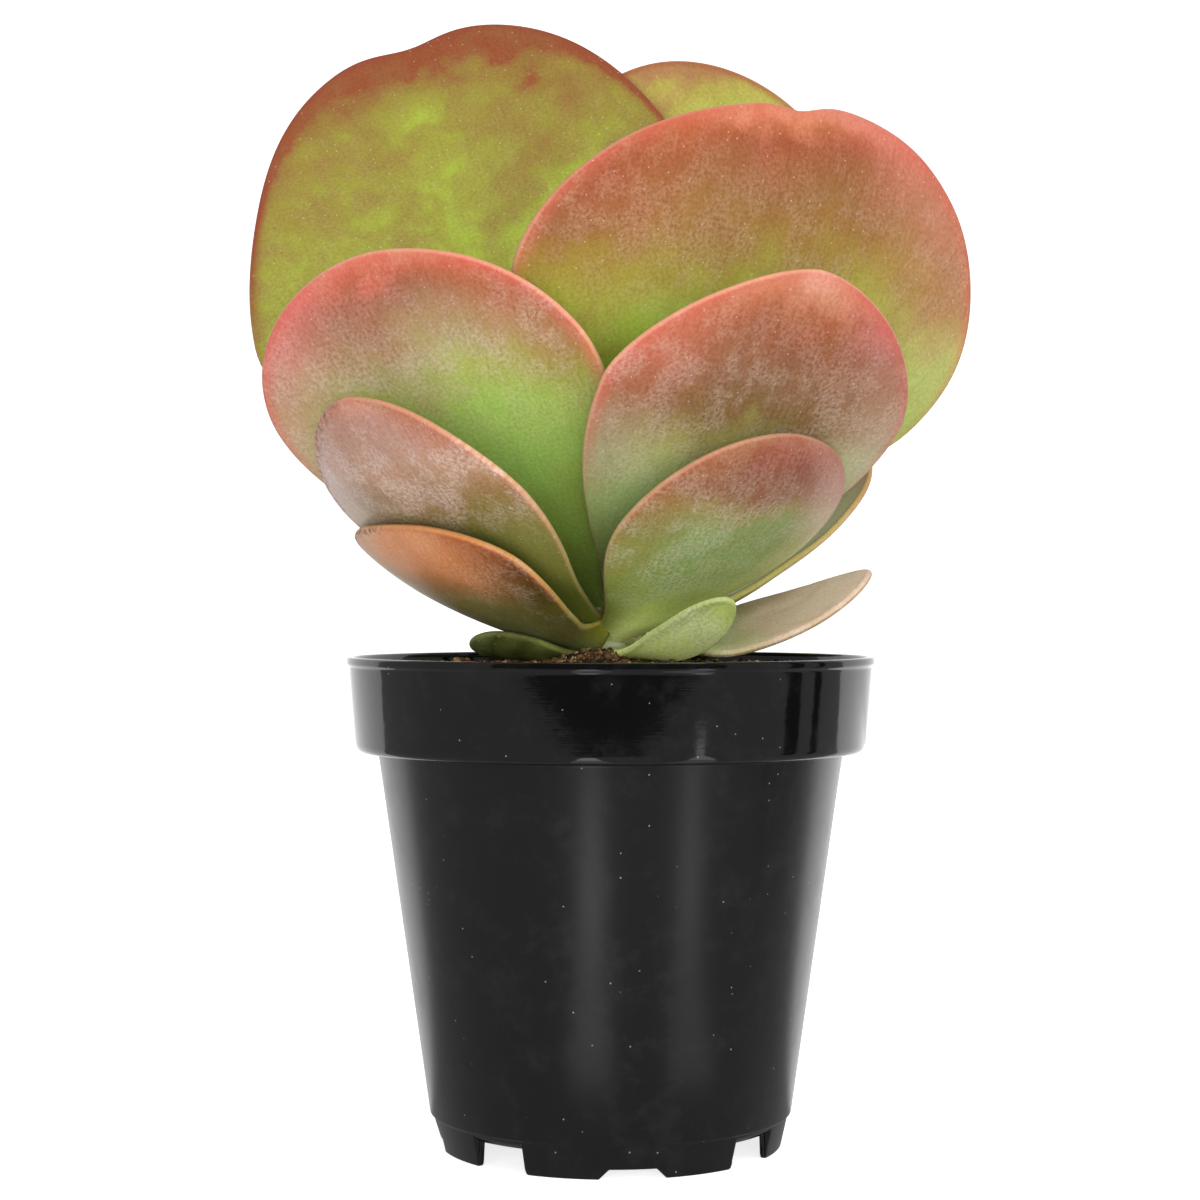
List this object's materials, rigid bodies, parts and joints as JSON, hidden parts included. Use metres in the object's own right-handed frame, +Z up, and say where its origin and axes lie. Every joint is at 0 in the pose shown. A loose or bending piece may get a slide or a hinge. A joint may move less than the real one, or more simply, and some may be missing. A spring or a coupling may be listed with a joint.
{
  "type": "potted paddle plant",
  "caption": "Young paddle succulent with broad round leaves in crossed pairs on a short stem, planted in soil in a round black nursery pot with a wide rim band and skirt feet.",
  "frame": {"origin": "middle of the bounding box's base, on the plane that the pot's feet stand on; the pot's axis is about 2 mm to the right of it and 4 mm in front", "axes": "+Z up along the pot's axis, -Y to the front that the picture shows, +X to the right seen from the front"},
  "size_m": [0.1536, 0.1316, 0.2457],
  "materials": {
    "pot_plastic": "satin",
    "potting_soil": "matte",
    "stem_skin": "matte",
    "green_leaf": "satin",
    "lime_leaf": "satin",
    "blushed_leaf": "satin",
    "rosy_leaf": "satin",
    "fresh_leaf": "satin",
    "dark_leaf": "satin"
  },
  "bodies": {
    "root": {"pot": "pot_plastic", "soil": "potting_soil", "stem": "stem_skin", "side_shoot": "stem_skin", "leaf_1_left": "blushed_leaf", "leaf_1_right": "rosy_leaf", "leaf_2_front_right": "green_leaf", "leaf_2_back_left": "green_leaf", "leaf_3_front_left": "rosy_leaf", "leaf_3_back_right": "green_leaf", "leaf_4_front_right": "rosy_leaf", "leaf_4_back_left": "green_leaf", "leaf_5_front_left": "blushed_leaf", "leaf_5_back_right": "lime_leaf", "leaf_6_front_right": "blushed_leaf", "leaf_6_back_left": "lime_leaf", "leaf_7_front_left": "lime_leaf", "leaf_7_back_right": "lime_leaf", "shoot_leaf_right": "fresh_leaf", "shoot_leaf_left": "dark_leaf"}
  },
  "joints": []
}
